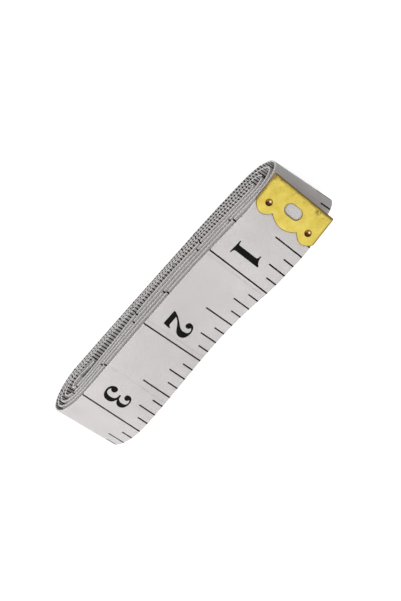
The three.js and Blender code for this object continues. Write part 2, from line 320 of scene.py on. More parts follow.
# Outlines as "M x y", "L x y" and "C x y x y x y" steps; the ones after the first are holes.
SIX = (
    "M 50 83 C 50 93 43 101 33 101 C 14 101 2 80 2 47 C 2 17 12 -1 30 -1 C 46 -1 57 12 57 30 "
    "C 57 48 47 60 34 60 C 28 60 22 57 19 51 C 19 82 24 96 33 96 C 36 96 39 94 40 92 "
    "C 35 91 32 87 32 82 C 32 77 36 73 41 73 C 46 73 50 77 50 83",
    "M 30 4 C 22 4 20 14 20 30 C 20 46 23 54 30 54 C 37 54 39 46 39 30 C 39 14 37 4 30 4",
)
DIGITS = {
    "0": (
        "M 58 50 C 58 78 46 101 30 101 C 14 101 2 78 2 50 C 2 22 14 -1 30 -1 C 46 -1 58 22 58 50",
        "M 42 50 C 42 80 38 97 30 97 C 22 97 18 80 18 50 C 18 20 22 3 30 3 C 38 3 42 20 42 50",
    ),
    "1": (
        "M 7 0 L 54 0 L 54 4 C 44 5 41 6 41 13 L 41 101 L 36 101 C 29 91 20 87 7 86 L 7 82 "
        "C 16 82 20 81 20 74 L 20 13 C 20 6 17 5 7 4",
    ),
    "2": (
        "M -2 0 L -1 6 C 3 18 12 30 22 41 C 32 51 39 60 39 72 C 39 84 34 90 27 90 "
        "C 22 90 18 88 16 83 C 20 83 24 79 24 73 C 24 67 20 63 14 63 C 8 63 3 67 3 74 "
        "C 3 87 14 96 31 96 C 50 96 61 86 61 72 C 61 58 50 50 40 45 C 29 39 18 29 12 19 "
        "L 40 19 C 46 19 49 21 51 27 L 56 27 L 52 0",
    ),
    "3": (
        "M 3 75 C 3 86 12 92 25 92 C 43 92 55 84 55 70 C 55 60 49 54 38 50 C 50 47 58 39 58 25 "
        "C 58 8 45 -2 27 -2 C 12 -2 2 8 2 20 C 2 28 7 32 13 32 C 19 32 24 27 24 21 "
        "C 24 15 20 11 16 11 C 18 7 22 5 27 5 C 36 5 41 13 41 26 C 41 39 35 46 24 46 L 18 46 "
        "L 18 52 L 24 52 C 33 52 39 59 39 70 C 39 82 34 87 26 87 C 21 87 18 86 16 83 "
        "C 20 82 24 79 24 74 C 24 68 19 64 13 64 C 7 64 3 68 3 75",
    ),
    "4": (
        "M 24 0 L 60 0 L 60 4 L 51 6 L 51 25 L 60 25 L 60 31 L 51 31 L 51 101 L 46 101 L 2 30 "
        "L 2 25 L 34 25 L 34 6 L 24 4",
        "M 34 31 L 8 31 L 34 74",
    ),
    "5": (
        "M 10 52 L 12 101 C 24 97 38 97 50 101 C 48 90 40 84 28 84 C 22 84 17 85 14 86 L 14 58 "
        "C 18 62 24 64 31 64 C 47 64 57 52 57 33 C 57 12 45 -1 27 -1 C 12 -1 2 8 2 20 "
        "C 2 28 7 33 13 33 C 20 33 24 28 24 22 C 24 15 20 11 14 11 C 17 6 21 4 26 4 "
        "C 36 4 39 15 39 32 C 39 50 36 58 27 58 C 21 58 16 55 14 50",
    ),
    "6": SIX,
    "7": (
        "M 18 0 L 36 0 C 34 28 42 52 56 84 L 56 100 L 8 100 L 4 70 L 8 70 C 11 80 16 84 26 84 "
        "L 46 84 C 30 58 18 34 18 0",
    ),
    "8": (
        "M 29 101 C 44 101 53 92 53 78 C 53 67 47 59 38 54 C 50 48 57 39 57 27 "
        "C 57 10 46 -1 29 -1 C 13 -1 2 9 2 25 C 2 37 9 45 20 51 C 10 57 5 66 5 76 "
        "C 5 91 15 101 29 101",
        "M 29 96 C 22 96 18 90 18 83 C 18 72 26 65 35 57 C 39 63 41 70 41 78 C 41 89 37 96 29 96",
        "M 29 4 C 19 4 14 12 14 25 C 14 36 18 44 24 49 C 36 41 43 33 43 22 C 43 11 38 4 29 4",
    ),
}


def outline_points(steps):
    """The corner points of one outline, its curves cut into short chords."""
    words = steps.split()
    points = []
    at = 0
    while at < len(words):
        count = 6 if words[at] == "C" else 2
        xy = [float(w) for w in words[at + 1 : at + 1 + count]]
        if words[at] == "C":
            knots = [Vector((*points[-1], 0))]
            knots += [Vector((xy[i], xy[i + 1], 0)) for i in (0, 2, 4)]
            curve = interpolate_bezier(*knots, CURVE_POINTS)
            points += [(p.x, p.y) for p in curve[1:]]
        else:
            points.append(tuple(xy))
        at += 1 + count
    return points[:-1] if math.dist(points[0], points[-1]) < SAME else points


DIGIT_LOOPS = {digit: [outline_points(o) for o in loops] for digit, loops in DIGITS.items()}
DIGIT_LOOPS["9"] = [
    [(2 * DIGIT_MIDDLE[0] - x, 2 * DIGIT_MIDDLE[1] - y) for x, y in loop] for loop in DIGIT_LOOPS["6"]
]


def number_loops(number, centre_s, centre_v, height, up):
    """(loop in s and v, is a hole) for each outline of a number; up is 1 or -1 along v.

    A number that reads from the fold keeps its last digit at its place, so it clears its line.
    """
    size = height / 100
    text = str(number)
    last = len(text) - 1
    for place, digit in enumerate(text):
        shift = (place - (last if up < 0 else last / 2)) * DIGIT_STEP
        for turn, loop in enumerate(DIGIT_LOOPS[digit]):
            yield [
                (
                    centre_s + (x - DIGIT_MIDDLE[0] + shift) * size,
                    centre_v + up * (y - DIGIT_MIDDLE[1]) * size,
                )
                for x, y in loop
            ], turn > 0


def tick_length(count, lengths):
    return next(length for step, length in lengths.items() if count % step == 0)


def printed(s):
    """Where a mark lies on the tape: the cloth has drawn in a little along its outer lap."""
    lo, hi = PRINT_SHIFT_SPAN
    return s + PRINT_SHIFT * smooth((s - lo) / (hi - lo))


def ticks(pitch, width, lengths, lo, hi):
    """(start, end, length) of each tick between lo and hi along the tape."""
    lo = max(lo, PRINT_FROM)
    found = []
    for n in range(1, int(TAPE_END / pitch) + 1):
        at = printed(n * pitch)
        if lo < at - width / 2 and at + width / 2 < hi:
            found.append((at - width / 2, at + width / 2, tick_length(n, lengths)))
    return found


def numbers(step, back, lo, hi):
    """(number, place) of the numbers that fit between lo and hi."""
    lo = max(lo, PRINT_FROM)
    found = []
    for n in range(1, int(TAPE_END / step) + 1):
        place = printed(n * step) - back
        if lo < place < hi and place < TAPE_END - back:
            found.append((n, place))
    return found


# The tape as closed printed sheets
SNAP = 0.03
# The cut keeps what lies inside the loops, and joins points closer than this.
INSIDE_ONLY = 1
CUT_NEAR = 1e-5
RIVET_HOLE_SIDES = 16
# How far up the cut edge the millimetres' ink comes: -1 is their own face, 1 the inch face.
INK_RISE = -0.35


class Face:
    """One side of a stretch of tape, cut into triangles along its print."""

    def __init__(self, stations, lines, rings):
        self.points, self.edges, self.loops, self.kinds = [], [], [], []
        lo, hi = stations[0], stations[-1]
        self.loop([(lo, -HALF_W), (hi, -HALF_W), (hi, HALF_W), (lo, HALF_W)], "tape")
        self.rims = {v: [self.point(s, v) for s in stations] for v in (-HALF_W, HALF_W)}
        for s in lines:
            k = stations.index(s)
            self.edges.append((self.rims[-HALF_W][k], self.rims[HALF_W][k]))
        self.rings = [self.loop(ring, "void") for ring in rings]

    def point(self, s, v):
        self.points.append(Vector((s, v)))
        return len(self.points) - 1

    def loop(self, corners, kind):
        area = sum(
            a[0] * b[1] - a[1] * b[0] for a, b in zip(corners, corners[1:] + corners[:1], strict=True)
        )
        ordered = corners if area > 0 else corners[::-1]
        self.loops.append([self.point(*c) for c in ordered])
        self.kinds.append(kind)
        return self.loops[-1]

    def cut(self):
        """Corner places, triangles and their materials, and where each given point went."""
        made = delaunay_2d_cdt(self.points, self.edges, self.loops, INSIDE_ONLY, CUT_NEAR)
        spots, _, faces, origins, _, _ = made
        went = {old: new for new, olds in enumerate(origins) for old in olds}
        near = {}
        for loop, kind in zip(self.loops[1:], self.kinds[1:], strict=True):
            corners = [self.points[i] for i in loop]
            reach = [c.x for c in corners]
            for bucket in range(int(min(reach)), int(max(reach)) + 1):
                near.setdefault(bucket, []).append((corners, kind))
        kept, inked = [], []
        for face in faces:
            middle = sum((spots[i] for i in face), Vector((0, 0))) / len(face)
            found = near.get(int(middle.x), ())
            kinds = [kind for corners, kind in found if inside(corners, middle)]
            if "void" in kinds:
                continue
            kept.append(face)
            inked.append("tick" in kinds or kinds.count("digit") > kinds.count("hole"))
        return spots, kept, inked, went


def inside(corners, p):
    """Whether p lies in the closed outline of the corners."""
    odd = False
    for a, b in zip(corners, corners[1:] + corners[:1], strict=True):
        if (a.y > p.y) != (b.y > p.y) and p.x < a.x + (p.y - a.y) / (b.y - a.y) * (b.x - a.x):
            odd = not odd
    return odd


def snapped(values):
    """The values in order, those closer than SNAP made one."""
    kept = []
    for value in sorted(values):
        if not kept or value - kept[-1] > SNAP:
            kept.append(value)
    return kept


def nearest(stations, value):
    k = bisect.bisect_left(stations, value)
    return min(stations[max(k - 1, 0) : k + 1], key=lambda s: abs(s - value))


def marked(marks, s):
    """Whether s lies in one of the marks, which are (start, end) in order."""
    k = bisect.bisect_right(marks, (s, TAPE_END)) - 1
    return k >= 0 and s < marks[k][1]


def tape_piece(name, lo, hi, materials):
    """The printed tape from lo to hi mm from the fold, closed all round."""
    inch_ticks = ticks(INCH / 8, INCH_TICK_W, INCH_TICKS, lo, hi)
    mm_ticks = ticks(CM / 10, MM_TICK_W, MM_TICKS, lo, min(hi, TAPE_END - BARE_END))
    tick_ends = [end for tick in inch_ticks + mm_ticks for end in tick[:2]]
    bends = [s for s in LINE_S if lo + SNAP < s < hi - SNAP]
    held = [s for s in range(math.ceil(lo), int(TIP_SECTION)) if s > lo + SNAP]
    inner = [s for s in snapped(tick_ends + bends + held) if lo + SNAP < s < hi - SNAP]
    stations = [lo] + inner + [hi]
    lines = sorted({nearest(stations, s) for s in bends + held} - {lo, hi})
    rings = []
    if lo < RIVET_FROM_FOLD < hi:
        for v in (-BRASS_RIVET_Y, BRASS_RIVET_Y):
            turns = [2 * math.pi * i / RIVET_HOLE_SIDES for i in range(RIVET_HOLE_SIDES)]
            r = RIVET_SHANK_R + HOLE_FIT
            rings.append([(RIVET_FROM_FOLD + r * math.cos(t), v + r * math.sin(t)) for t in turns])

    outer, under = Face(stations, lines, rings), Face(stations, lines, rings)
    lined, bled = [], []
    for face, tick_list, rim in ((outer, inch_ticks, -HALF_W), (under, mm_ticks, HALF_W)):
        for start, end, length in tick_list:
            start, end = nearest(stations, start), nearest(stations, end)
            foot = rim + math.copysign(min(length, TAPE_W), -rim)
            face.loop([(start, rim), (end, rim), (end, foot), (start, foot)], "tick")
            if face is under:
                bled.append((start, end))
            elif length >= TAPE_W:
                lined.append((start, end))
    figures = [
        (outer, n, s, INCH_NUMBER_V, INCH_NUMBER_H, -1)
        for n, s in numbers(INCH, INCH_NUMBER_BACK, lo, hi)
    ]
    figures += [
        (under, n, s, CM_NUMBER_V, CM_NUMBER_H, 1) for n, s in numbers(CM, CM_NUMBER_BACK, lo, hi)
    ]
    for face, n, s, v, height, up in figures:
        for loop, is_hole in number_loops(n, s, v, height, up):
            face.loop(loop, "hole" if is_hole else "digit")

    verts, flat, polygons, inks = [], [], [], []
    where = {}
    for side, face in ((1, outer), (-1, under)):
        spots, triangles, inked, went = face.cut()
        base = len(verts)
        verts += [surface(p.x, p.y, side) * MM for p in spots]
        flat += [(p.x, p.y) for p in spots]
        polygons += [[base + i for i in (t[::-1] if side > 0 else t)] for t in triangles]
        inks += inked
        where[side] = {old: base + new for old, new in went.items()}

    # The cut edges: the plain one has a line along it, which the millimetres' ink comes up to.
    top, low = where[1], where[-1]
    ink_line = range(len(verts), len(verts) + len(stations))
    verts += [surface(s, HALF_W, INK_RISE) * MM for s in stations]
    flat += [(s, HALF_W) for s in stations]

    def wall(corners, inked=False):
        polygons.append(corners)
        inks.append(inked)

    ticked, plain = outer.rims[-HALF_W], outer.rims[HALF_W]
    for k in range(len(stations) - 1):
        middle = (stations[k] + stations[k + 1]) / 2
        crossed = marked(lined, middle)
        a, b = ticked[k], ticked[k + 1]
        wall([top[a], top[b], low[b], low[a]], crossed)
        a, b = plain[k + 1], plain[k]
        wall([top[a], top[b], ink_line[k], ink_line[k + 1]], crossed)
        wall([ink_line[k + 1], ink_line[k], low[b], low[a]], crossed or marked(bled, middle))
    a, b = ticked[-1], plain[-1]
    wall([top[a], top[b], ink_line[-1], low[b], low[a]])
    a, b = plain[0], ticked[0]
    wall([top[a], top[b], low[b], low[a], ink_line[0]])
    for ring in outer.rings:
        for b, a in zip(ring, ring[1:] + ring[:1], strict=True):
            wall([top[a], top[b], low[b], low[a]])

    mesh = bpy.data.meshes.new(name)
    mesh.from_pydata(verts, [], polygons)
    piece = bpy.data.objects.new(name, mesh)
    bpy.context.scene.collection.objects.link(piece)
    for material in materials:
        mesh.materials.append(material)
    mesh.polygons.foreach_set("material_index", [int(i) for i in inks])
    layer = mesh.uv_layers.new(name=TAPE_MAP)
    layer.data.foreach_set("uv", [c for loop in mesh.loops for c in flat[loop.vertex_index]])
    smooth_faces(piece)
    return piece


# Small tools
SMOOTH_ANGLE = math.radians(40)
MERGE = 1e-4


def only(piece):
    bpy.ops.object.select_all(action="DESELECT")
    piece.select_set(True)
    bpy.context.view_layer.objects.active = piece


def smooth_faces(piece):
    only(piece)
    bpy.ops.object.shade_smooth_by_angle(angle=SMOOTH_ANGLE)


def apply_modifier(piece, kind, **settings):
    only(piece)
    modifier = piece.modifiers.new(kind.title(), kind)
    for key, value in settings.items():
        setattr(modifier, key, value)
    bpy.ops.object.modifier_apply(modifier=modifier.name)


def put_in(piece, placing):
    """Moves the mesh, made in mm, to its place in the part; the object stays at the origin."""
    only(piece)
    piece.matrix_world = Matrix.Scale(MM, 4) @ placing
    bpy.ops.object.transform_apply(location=True, rotation=True, scale=True)


# Materials
TAPE_MAP = "tape_mm"
SOFT = {"interpolation_type": "SMOOTHSTEP"}
# A Mix node's colours are its inputs 6 and 7 and its output 2.
TINTS = {"data_type": "RGBA", "out": 2}
# The range that most of a noise's values lie in.
MOST = (0.3, 0.7)


def colour(text):
    """An sRGB hex colour as linear RGBA."""
    parts = [int(text[i : i + 2], 16) / 255 for i in (1, 3, 5)]
    return [p / 12.92 if p <= 0.04045 else ((p + 0.055) / 1.055) ** 2.4 for p in parts] + [1.0]


def node(tree, kind, inputs=(), out=0, **settings):
    """Adds a node with its settings and links, and gives one of its outputs.

    The inputs are a list for its first sockets, or named ones: values, or other nodes' outputs.
    """
    made = tree.nodes.new("ShaderNode" + kind)
    for key, value in settings.items():
        setattr(made, key, value)
    for key, value in inputs.items() if isinstance(inputs, dict) else enumerate(inputs):
        if isinstance(value, bpy.types.NodeSocket):
            tree.links.new(value, made.inputs[key])
        else:
            made.inputs[key].default_value = value
    return made.outputs[out] if made.outputs else None


def material(name):
    made = bpy.data.materials.new(name)
    made.use_nodes = True
    made.node_tree.nodes.clear()
    return made, made.node_tree


# Sizes of the patterns, in mm. A Wave texture's band repeats every 2 pi / 20 of its unit.
WAVE_UNIT = 2 * math.pi / 20
THREAD = 0.42
RELIEF = 0.03
DIM_EDGE = 0.7
COAT_PATCH = 14.0
COAT_SPECK = 0.9
COAT_SHEEN = 3.0
# How far light goes in the coated cloth, which is thin enough to let some through.
LIGHT_REACH = 0.9
INK_PATCH = 0.8
INK_SHEEN = 2.0


def weave(tree, place):
    """Threads of the cloth under its coat, over and under each other."""
    bands = [
        node(
            tree,
            "TexWave",
            {"Vector": place, "Scale": WAVE_UNIT / THREAD, "Distortion": 0.6, "Detail": 1.0},
            out="Fac",
            bands_direction=direction,
        )
        for direction in "XY"
    ]
    return node(tree, "Math", bands, operation="MULTIPLY")


def coated_cloth():
    """Woven cloth under a thin grey-white vinyl coat: a soft dull sheen, fine threads, dim edges."""
    made, tree = material("vinyl_coated_woven_cloth")
    place = node(tree, "UVMap", uv_map=TAPE_MAP)
    threads = weave(tree, place)
    across = node(tree, "SeparateXYZ", [place], out="Y")
    across = node(tree, "Math", [across], operation="ABSOLUTE")
    edge = node(tree, "MapRange", [across, HALF_W - DIM_EDGE, HALF_W, 0.0, 0.15], **SOFT)
    sunk = node(tree, "MapRange", [threads, 0.5, 0.0, 0.0, 0.22], **SOFT)
    patch = node(tree, "TexNoise", {"Vector": place, "Scale": 1 / COAT_PATCH, "Detail": 3.0})
    patch = node(tree, "MapRange", [patch, *MOST])
    speck = node(tree, "TexNoise", {"Vector": place, "Scale": 1 / COAT_SPECK, "Detail": 2.0})
    speck = node(tree, "MapRange", [speck, 0.68, 0.78, 0.0, 0.25], **SOFT)
    sheen = node(tree, "TexNoise", {"Vector": place, "Scale": 1 / COAT_SHEEN, "Detail": 3.0})
    rough = node(tree, "MapRange", [sheen, *MOST, 0.42, 0.58], **SOFT)
    base = node(tree, "Mix", {0: patch, 6: colour("#CDC9C8"), 7: colour("#D7D3D2")}, **TINTS)
    base = node(tree, "Mix", {0: edge, 6: base, 7: colour("#B4B1AE")}, **TINTS)
    base = node(tree, "Mix", {0: sunk, 6: base, 7: colour("#B9B7B6")}, **TINTS)
    base = node(tree, "Mix", {0: speck, 6: base, 7: colour("#A9A7A4")}, **TINTS)
    bump = node(tree, "Bump", {"Height": threads, "Strength": 0.5, "Distance": RELIEF * MM})
    shader = node(
        tree,
        "BsdfPrincipled",
        {
            "Base Color": base,
            "Roughness": rough,
            "Specular IOR Level": 0.4,
            "Subsurface Weight": 0.5,
            "Subsurface Radius": (1.0, 1.0, 1.0),
            "Subsurface Scale": LIGHT_REACH * MM,
            "Normal": bump,
        },
    )
    node(tree, "OutputMaterial", [shader])
    return made


def printing_ink():
    """Black ink sunk into the coat: near black, a little thin where the threads stand up."""
    made, tree = material("black_printing_ink")
    place = node(tree, "UVMap", uv_map=TAPE_MAP)
    threads = weave(tree, place)
    worn = node(tree, "TexNoise", {"Vector": place, "Scale": 1 / INK_PATCH, "Detail": 3.0})
    worn = node(tree, "MapRange", [worn, 0.56, 0.74, 0.0, 0.5], **SOFT)
    sheen = node(tree, "TexNoise", {"Vector": place, "Scale": 1 / INK_SHEEN, "Detail": 3.0})
    rough = node(tree, "MapRange", [sheen, *MOST, 0.6, 0.75], **SOFT)
    base = node(tree, "Mix", {0: worn, 6: colour("#0B0A0A"), 7: colour("#1C1A1A")}, **TINTS)
    bump = node(tree, "Bump", {"Height": threads, "Strength": 0.4, "Distance": RELIEF * MM})
    shader = node(
        tree,
        "BsdfPrincipled",
        {"Base Color": base, "Roughness": rough, "Specular IOR Level": 0.08, "Normal": bump},
    )
    node(tree, "OutputMaterial", [shader])
    return made


def tip_place(tree):
    """Object coordinates turned into the brass's own frame, in mm, its slant taken out."""
    at = node(tree, "TexCoord", out="Object")
    spot, turn, _ = BRASS_FRAME.decompose()
    place = node(
        tree,
        "Mapping",
        {"Vector": at, "Location": spot * MM, "Rotation": turn.to_euler("XYZ"), "Scale": (MM,) * 3},
        vector_type="TEXTURE",
    )
    x, y, z = (node(tree, "SeparateXYZ", [place], out=axis) for axis in "XYZ")
    straight = node(tree, "Math", [x, -BRASS_SLANT, y], operation="MULTIPLY_ADD")
    return node(tree, "CombineXYZ", [x, straight, z])


# Brown stains on the brass, as (x, y, radius) in its own frame.
STAINS = (
    (12.9, 9.6, 1.5),
    (12.8, -5.2, 1.25),
    (12.7, -9.8, 0.7),
    (6.7, -9.7, 0.7),
    (13.2, 7.6, 0.6),
    (9.2, 9.6, 0.6),
)
ROLLING_STRETCH = (0.25, 3.0, 1.0)
ROLLING_LINE = 0.8
BRASS_BLOTCH = 2.6
BRASS_SPECK = 0.5


def yellow_brass():
    """Thin pressed brass sheet: warm yellow, faint rolling lines, brown tarnish at fold and edges, a
    dark line along the sides, painted shade along the fold's round.
    """
    made, tree = material("yellow_brass_sheet")
    place = tip_place(tree)
    along = node(tree, "SeparateXYZ", [place], out="X")
    across = node(tree, "SeparateXYZ", [place], out="Y")
    across = node(tree, "Math", [across], operation="ABSOLUTE")
    drawn_out = node(tree, "Mapping", {"Vector": place, "Scale": ROLLING_STRETCH})
    lines = node(tree, "TexNoise", {"Vector": drawn_out, "Scale": 1 / ROLLING_LINE, "Detail": 4.0})
    blotch = node(
        tree,
        "TexNoise",
        {"Vector": place, "Scale": 1 / BRASS_BLOTCH, "Detail": 4.0, "Roughness": 0.6},
    )
    speck = node(tree, "TexNoise", {"Vector": place, "Scale": 1 / BRASS_SPECK, "Detail": 2.0})

    # tarnish in patches by the fold and the sides; painted shade as a dark line along the fold's
    # round, and a dark line right at the sides
    fold = node(tree, "MapRange", [along, BRASS_FRONT - 1.1, BRASS_FRONT - 0.25], **SOFT)
    sides = node(tree, "MapRange", [across, BRASS_W / 2 - 0.75, BRASS_W / 2], **SOFT)
    worn = node(tree, "Math", [fold, sides], operation="MAXIMUM")
    patchy = node(tree, "MapRange", [blotch, 0.3, 0.6, 0.2, 0.8], **SOFT)
    worn = node(tree, "Math", [worn, patchy], operation="MULTIPLY")
    # painted shade: the fold's round drawn as a dark line, where it turns away from the light; it
    # joins the tarnish in worn
    fold_shade = node(tree, "MapRange", [along, BRASS_FRONT - 0.42, BRASS_FRONT - 0.22, 0.0, 1.0], **SOFT)
    worn = node(tree, "Math", [worn, fold_shade], operation="MAXIMUM")
    rim = node(tree, "MapRange", [across, BRASS_W / 2 - 0.16, BRASS_W / 2 - 0.04, 0.0, 0.9], **SOFT)
    worn = node(tree, "Math", [worn, rim], operation="MAXIMUM")

    # stains, and dots near the fold
    grain = node(tree, "MapRange", [speck, 0.35, 0.55], **SOFT)
    for x, y, r in STAINS:
        away = node(tree, "VectorMath", [place, (x, y, TIP_HALF)], out="Value", operation="DISTANCE")
        stain = node(tree, "MapRange", [away, r, r * 0.2, 0.0, 0.9], **SOFT)
        stain = node(tree, "Math", [stain, grain], operation="MULTIPLY")
        worn = node(tree, "Math", [worn, stain], operation="MAXIMUM")
    near_fold = node(tree, "MapRange", [along, BRASS_FRONT - 4.0, BRASS_FRONT - 1.0, 0.0, 0.6], **SOFT)
    dots = node(tree, "MapRange", [speck, 0.62, 0.7], **SOFT)
    dots = node(tree, "Math", [dots, near_fold], operation="MULTIPLY")
    worn = node(tree, "Math", [worn, dots], operation="MAXIMUM")

    fair = node(tree, "MapRange", [blotch, 0.3, 0.5])
    light = node(tree, "MapRange", [blotch, 0.5, 0.75])
    base = node(tree, "Mix", {0: fair, 6: colour("#B9A548"), 7: colour("#C5B255")}, **TINTS)
    base = node(tree, "Mix", {0: light, 6: base, 7: colour("#CFBE65")}, **TINTS)
    base = node(tree, "Mix", {0: worn, 6: base, 7: colour("#6A4A14")}, **TINTS)
    metal = node(tree, "MapRange", [worn, 0.2, 0.9, 1.0, 0.4], **SOFT)
    rough = node(tree, "MapRange", [lines, *MOST, 0.42, 0.56], **SOFT)
    bump = node(tree, "Bump", {"Height": lines, "Strength": 0.12, "Distance": RELIEF * MM})
    shader = node(
        tree,
        "BsdfPrincipled",
        {"Base Color": base, "Metallic": metal, "Roughness": rough, "Normal": bump},
    )
    node(tree, "OutputMaterial", [shader])
    return made


EDGE_BLOTCH = 0.7


def brass_edge():
    """The cut edges of the brass sheet and a thin strip along them: dull dark brown that draws the
    plate's outline.
    """
    made, tree = material("dark_brass_edge")
    blotch = node(
        tree, "TexNoise", {"Vector": tip_place(tree), "Scale": 1 / EDGE_BLOTCH, "Detail": 3.0}
    )
    blotch = node(tree, "MapRange", [blotch, 0.35, 0.65])
    base = node(tree, "Mix", {0: blotch, 6: colour("#5E4A20"), 7: colour("#8A7232")}, **TINTS)
    shader = node(tree, "BsdfPrincipled", {"Base Color": base, "Metallic": 0.4, "Roughness": 0.6})
    node(tree, "OutputMaterial", [shader])
    return made


# The painted highlight on a rivet's dome: how far from its middle, and its radius.
HIGHLIGHT_OFF = 0.4
HIGHLIGHT_R = 0.36
RIVET_BLOTCH = 0.5


def rivet_bronze():
    """Small rivets of dark bronze with painted light: painted shade on one flank, golden with a
    painted highlight on the other.
    """
    made, tree = material("bronze_rivet_painted_light")
    place = tip_place(tree)
    along = node(tree, "SeparateXYZ", [place], out="X")
    across = node(tree, "SeparateXYZ", [place], out="Y")
    across = node(tree, "Math", [across], operation="ABSOLUTE")
    spot = node(tree, "CombineXYZ", [along, across])
    blotch = node(tree, "TexNoise", {"Vector": place, "Scale": 1 / RIVET_BLOTCH, "Detail": 3.0})
    # painted shade and light: each dome is dark on its -x flank and golden on its +x flank, as if lit
    # from one side
    painted_light_side = node(tree, "MapRange", [along, RIVET_X - RIVET_HEAD_R, RIVET_X + RIVET_HEAD_R], **SOFT)
    brown = node(tree, "MapRange", [painted_light_side, 0.2, 0.5])
    golden = node(tree, "MapRange", [painted_light_side, 0.5, 0.8])
    stain = node(tree, "MapRange", [blotch, 0.4, 0.7, 0.0, 0.4], **SOFT)
    # a painted highlight: a cream spot on each dome, off its middle towards +x
    highlight_middle = (RIVET_X + HIGHLIGHT_OFF, BRASS_RIVET_Y, 0)
    away = node(tree, "VectorMath", [spot, highlight_middle], out="Value", operation="DISTANCE")
    painted_highlight = node(tree, "MapRange", [away, HIGHLIGHT_R, HIGHLIGHT_R / 3], **SOFT)
    base = node(tree, "Mix", {0: brown, 6: colour("#2A1408"), 7: colour("#4E2E10")}, **TINTS)
    base = node(tree, "Mix", {0: golden, 6: base, 7: colour("#A87A34")}, **TINTS)
    base = node(tree, "Mix", {0: stain, 6: base, 7: colour("#3E2C14")}, **TINTS)
    base = node(tree, "Mix", {0: painted_highlight, 6: base, 7: colour("#FFF2D0")}, **TINTS)
    rough = node(tree, "MapRange", [blotch, *MOST, 0.14, 0.24], **SOFT)
    shader = node(tree, "BsdfPrincipled", {"Base Color": base, "Metallic": 1.0, "Roughness": rough})
    node(tree, "OutputMaterial", [shader])
    return made


STREAK = 0.7
STREAK_STRETCH = (4.0, 0.2, 1.0)


def plated_steel():
    """Nickel-plated steel strip: grey, with fine streaks across it from the rolling."""
    made, tree = material("nickel_plated_steel")
    at = node(tree, "TexCoord", out="Object")
    scale = [stretch / MM for stretch in STREAK_STRETCH]
    place = node(tree, "Mapping", {"Vector": at, "Scale": scale})
    streaks = node(tree, "TexNoise", {"Vector": place, "Scale": 1 / STREAK, "Detail": 4.0})
    tone = node(tree, "MapRange", [streaks, *MOST])
    base = node(tree, "Mix", {0: tone, 6: colour("#8E8C8C"), 7: colour("#B2B0B0")}, **TINTS)
    rough = node(tree, "MapRange", [streaks, *MOST, 0.3, 0.44], **SOFT)
    bump = node(tree, "Bump", {"Height": streaks, "Strength": 0.1, "Distance": RELIEF * MM})
    shader = node(
        tree,
        "BsdfPrincipled",
        {"Base Color": base, "Metallic": 1.0, "Roughness": rough, "Normal": bump},
    )
    node(tree, "OutputMaterial", [shader])
    return made


# Drawn outlines: each loop is a list of (point, left handle, right handle)
CURVE_STEPS = 14
CIRCLE_PULL = 4 / 3 * (math.sqrt(2) - 1)


def drawn(name, loops, fill="BOTH"):
    """The mesh of flat loops, closed and filled; with the fill NONE it is open lines."""
    bpy.ops.curve.primitive_bezier_curve_add()
    piece = bpy.context.object
    piece.name = name
    shape = piece.data
    shape.dimensions = "2D"
    shape.fill_mode = fill
    shape.resolution_u = CURVE_STEPS
    shape.splines.clear()
    for loop in loops:
        spline = shape.splines.new("BEZIER")
        spline.bezier_points.add(len(loop) - 1)
        spline.use_cyclic_u = fill != "NONE"
        for knot, (at, left, right) in zip(spline.bezier_points, loop, strict=True):
            knot.co = (*at, 0)
            knot.handle_left = (*left, 0)
            knot.handle_right = (*right, 0)
    bpy.ops.object.convert(target="MESH")
    return piece


def corner(x, y):
    return (x, y), (x, y), (x, y)


def scalloped(loop, *ends):
    """Adds scallops to the loop: parabolas from its last point to each end, through a tip."""
    for (x, y), tip_x in ends:
        (x0, y0), left, _ = loop[-1]
        pull = (2 * tip_x - (x0 + x) / 2, (y0 + y) / 2)
        first = tuple(lerp(a, b, 2 / 3) for a, b in zip((x0, y0), pull, strict=True))
        second = tuple(lerp(a, b, 2 / 3) for a, b in zip((x, y), pull, strict=True))
        loop[-1] = ((x0, y0), left, first)
        loop.append(((x, y), second, (x, y)))


def round_loop(x, y, r):
    k = r * CIRCLE_PULL
    return [
        ((x + r, y), (x + r, y - k), (x + r, y + k)),
        ((x, y + r), (x + k, y + r), (x - k, y + r)),
        ((x - r, y), (x - r, y + k), (x - r, y - k)),
        ((x, y - r), (x - k, y - r), (x + k, y - r)),
    ]


def slot_loop(x, y, r, straight):
    """A slot along y with round ends; straight is the length of its straight sides."""
    k = r * CIRCLE_PULL
    low, high = y - straight / 2, y + straight / 2
    return [
        ((x + r, low), (x + r, low - k), (x + r, y)),
        ((x + r, high), (x + r, y), (x + r, high + k)),
        ((x, high + r), (x + k, high + r), (x - k, high + r)),
        ((x - r, high), (x - r, high + k), (x - r, y)),
        ((x - r, low), (x - r, y), (x - r, low - k)),
        ((x, low - r), (x - k, low - r), (x + k, low - r)),
    ]


# Sheet metal: one half from a flat outline, the other half mirrored, the fold spun between them
FOLD_STEPS = 12
EDGE_ROUND = 0.06
ROUNDED_FROM = math.radians(50)
STRAIGHT = math.radians(1)
RIM_W = 0.16
SHEET_MIDDLE = MOUTH + SHEET_T / 2


